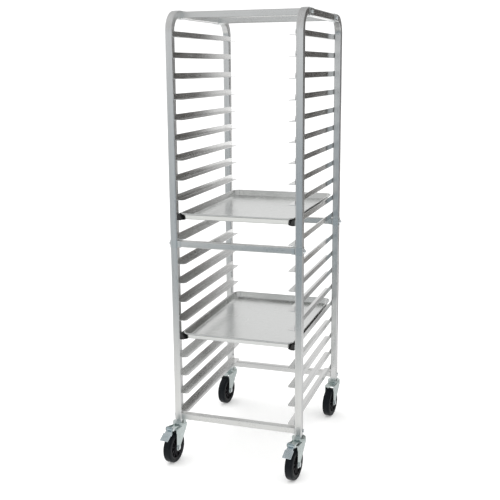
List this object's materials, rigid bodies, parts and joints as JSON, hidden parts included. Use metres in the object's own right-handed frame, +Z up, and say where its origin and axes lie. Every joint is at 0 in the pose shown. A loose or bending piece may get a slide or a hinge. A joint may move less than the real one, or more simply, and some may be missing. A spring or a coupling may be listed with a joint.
{
  "type": "sheet pan rack",
  "caption": "Knock-down aluminium sheet pan rack with angle runners, end-loading sheet pans, bent-tube side frames, crossbars and swivel casters with pedal brakes at the front.",
  "frame": {"origin": "on the floor, under the middle of the frame between the four uprights", "axes": "+X to the right across the rack, +Y to the rear (pans load from the front, -Y), +Z up"},
  "size_m": [0.5617, 0.7906, 1.7736],
  "materials": {
    "frame_tube": "satin, fine lengthwise brushing",
    "crossbar_tube": "satin, lengthwise brushed",
    "runner_sheet": "mill finish sheet, lengthwise drawn lines",
    "cast_fitting": "smooth satin",
    "inner_fitting": "plain zinc plated",
    "bolt_steel": "bright plated",
    "guide_rubber": "matt moulded",
    "steel_ball": "polished",
    "zinc_steel": "bright zinc plated, faint blue-green tint",
    "pedal_steel": "bright zinc plated",
    "tyre_rubber": "satin black rubber",
    "core_plastic": "moulded, slightly glossy",
    "pan_sheet": "bright pressed sheet, faint rolling lines"
  },
  "bodies": {
    "frame": {"upright_upper_front_left": "frame_tube", "upright_lower_front_left": "frame_tube", "upright_upper_front_right": "frame_tube", "upright_lower_front_right": "frame_tube", "upright_upper_rear_left": "frame_tube", "upright_lower_rear_left": "frame_tube", "upright_upper_rear_right": "frame_tube", "upright_lower_rear_right": "frame_tube", "top_rail_left": "frame_tube", "top_rail_right": "frame_tube", "crossbar_top_front": "crossbar_tube", "crossbar_top_rear": "crossbar_tube", "crossbar_mid_front": "crossbar_tube", "crossbar_mid_rear": "crossbar_tube", "crossbar_bottom_front": "crossbar_tube", "crossbar_bottom_rear": "crossbar_tube", "top_joint_sleeves": "cast_fitting", "mid_joint_sleeves": "cast_fitting", "mid_joint_spigots": "inner_fitting", "crossbar_end_plugs": "inner_fitting", "crossbar_bolts": "bolt_steel", "mid_bar_sockets": "cast_fitting", "bolt_cup_washers": "bolt_steel", "runners_left_upper": "runner_sheet", "runners_left_lower": "runner_sheet", "runners_right_upper": "runner_sheet", "runners_right_lower": "runner_sheet", "pan_guides": "guide_rubber", "caster_adapters": "cast_fitting", "swivel_balls": "steel_ball", "caster_stem_front_left": "zinc_steel", "caster_stem_front_right": "zinc_steel", "caster_stem_rear_left": "zinc_steel", "caster_stem_rear_right": "zinc_steel"},
    "swivel_front_left": {"caster_fork_front_left": "zinc_steel", "caster_axle_front_left": "bolt_steel", "brake_bracket_left": "zinc_steel", "brake_pin_left": "bolt_steel"},
    "wheel_front_left": {"caster_tyre_front_left": "tyre_rubber", "caster_core_front_left": "core_plastic"},
    "brake_left": {"brake_pedal_left": "pedal_steel"},
    "swivel_front_right": {"caster_fork_front_right": "zinc_steel", "caster_axle_front_right": "bolt_steel", "brake_bracket_right": "zinc_steel", "brake_pin_right": "bolt_steel"},
    "wheel_front_right": {"caster_tyre_front_right": "tyre_rubber", "caster_core_front_right": "core_plastic"},
    "brake_right": {"brake_pedal_right": "pedal_steel"},
    "swivel_rear_left": {"caster_fork_rear_left": "zinc_steel", "caster_axle_rear_left": "bolt_steel"},
    "wheel_rear_left": {"caster_tyre_rear_left": "tyre_rubber", "caster_core_rear_left": "core_plastic"},
    "swivel_rear_right": {"caster_fork_rear_right": "zinc_steel", "caster_axle_rear_right": "bolt_steel"},
    "wheel_rear_right": {"caster_tyre_rear_right": "tyre_rubber", "caster_core_rear_right": "core_plastic"},
    "pan_upper": {"sheet_pan_upper": "pan_sheet", "pan_rim_wire_upper": "inner_fitting"},
    "pan_lower": {"sheet_pan_lower": "pan_sheet", "pan_rim_wire_lower": "inner_fitting"}
  },
  "joints": [
    {"name": "caster_swivel_front_left", "type": "hinge", "parent": "frame", "child": "swivel_front_left", "pos_m": [-0.2505, -0.316, 0.14], "axis": [0, 0, 1], "continuous": true},
    {"name": "wheel_spin_front_left", "type": "hinge", "parent": "swivel_front_left", "child": "wheel_front_left", "pos_m": [-0.25639, -0.36767, 0.0625], "axis": [0.9936, -0.1132, 0], "continuous": true},
    {"name": "brake_pedal_left", "type": "hinge", "parent": "swivel_front_left", "child": "brake_left", "pos_m": [-0.25956, -0.39549, 0.149], "axis": [0.9936, -0.1132, 0], "range_deg": [0, 16]},
    {"name": "caster_swivel_front_right", "type": "hinge", "parent": "frame", "child": "swivel_front_right", "pos_m": [0.2505, -0.316, 0.14], "axis": [0, 0, 1], "continuous": true},
    {"name": "wheel_spin_front_right", "type": "hinge", "parent": "swivel_front_right", "child": "wheel_front_right", "pos_m": [0.24461, -0.36767, 0.0625], "axis": [0.9936, -0.1132, 0], "continuous": true},
    {"name": "brake_pedal_right", "type": "hinge", "parent": "swivel_front_right", "child": "brake_right", "pos_m": [0.24144, -0.39549, 0.149], "axis": [0.9936, -0.1132, 0], "range_deg": [0, 16]},
    {"name": "caster_swivel_rear_left", "type": "hinge", "parent": "frame", "child": "swivel_rear_left", "pos_m": [-0.2505, 0.316, 0.14], "axis": [0, 0, 1], "continuous": true},
    {"name": "wheel_spin_rear_left", "type": "hinge", "parent": "swivel_rear_left", "child": "wheel_rear_left", "pos_m": [-0.25639, 0.26433, 0.0625], "axis": [0.9936, -0.1132, 0], "continuous": true},
    {"name": "caster_swivel_rear_right", "type": "hinge", "parent": "frame", "child": "swivel_rear_right", "pos_m": [0.2505, 0.316, 0.14], "axis": [0, 0, 1], "continuous": true},
    {"name": "wheel_spin_rear_right", "type": "hinge", "parent": "swivel_rear_right", "child": "wheel_rear_right", "pos_m": [0.24461, 0.26433, 0.0625], "axis": [0.9936, -0.1132, 0], "continuous": true},
    {"name": "pan_slide_upper", "type": "slide", "parent": "frame", "child": "pan_upper", "axis": [0, -1, 0], "range_m": [0, 0.7]},
    {"name": "pan_slide_lower", "type": "slide", "parent": "frame", "child": "pan_lower", "axis": [0, -1, 0], "range_m": [0, 0.7]}
  ]
}
